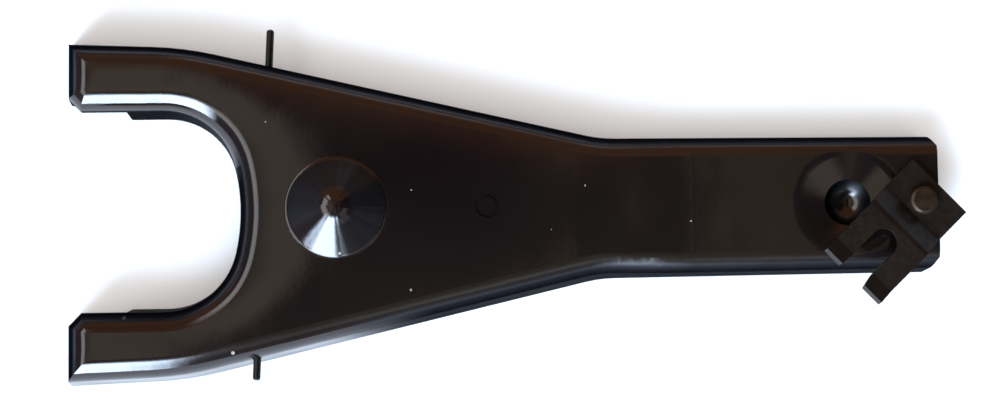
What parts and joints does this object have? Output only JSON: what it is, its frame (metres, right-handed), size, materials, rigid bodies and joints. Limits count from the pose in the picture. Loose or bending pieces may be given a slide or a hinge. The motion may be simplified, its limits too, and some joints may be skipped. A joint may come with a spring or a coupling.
{
  "type": "clutch fork",
  "caption": "Pressed steel clutch fork: a two-fingered channel lever with a domed ball socket, a spring clip and a swivelling pushrod retainer.",
  "frame": {"origin": "on the pivot's axis, in the plane of the flange edges that the fork rests on", "axes": "+X along the lever from the pivot to the arm's free end, +Y across it, +Z forward out of the web, the side that the dome and the retainer stand on"},
  "size_m": [0.2688, 0.1061, 0.0259],
  "materials": {
    "lever_paint": "gloss black stoving paint",
    "clip_steel": "black oxide spring wire",
    "retainer_paint": "semi-gloss black paint",
    "rivet_paint": "semi-gloss black paint over a brown steel head"
  },
  "bodies": {
    "fork": {"fork_lever": "lever_paint", "pivot_clip": "clip_steel", "retainer_rivet": "rivet_paint"},
    "retainer": {"pushrod_retainer": "retainer_paint"}
  },
  "joints": [
    {"name": "retainer_swivel", "type": "hinge", "parent": "fork", "child": "retainer", "pos_m": [0.1748, 0, 0.014], "axis": [0, 0, 1], "continuous": true}
  ]
}
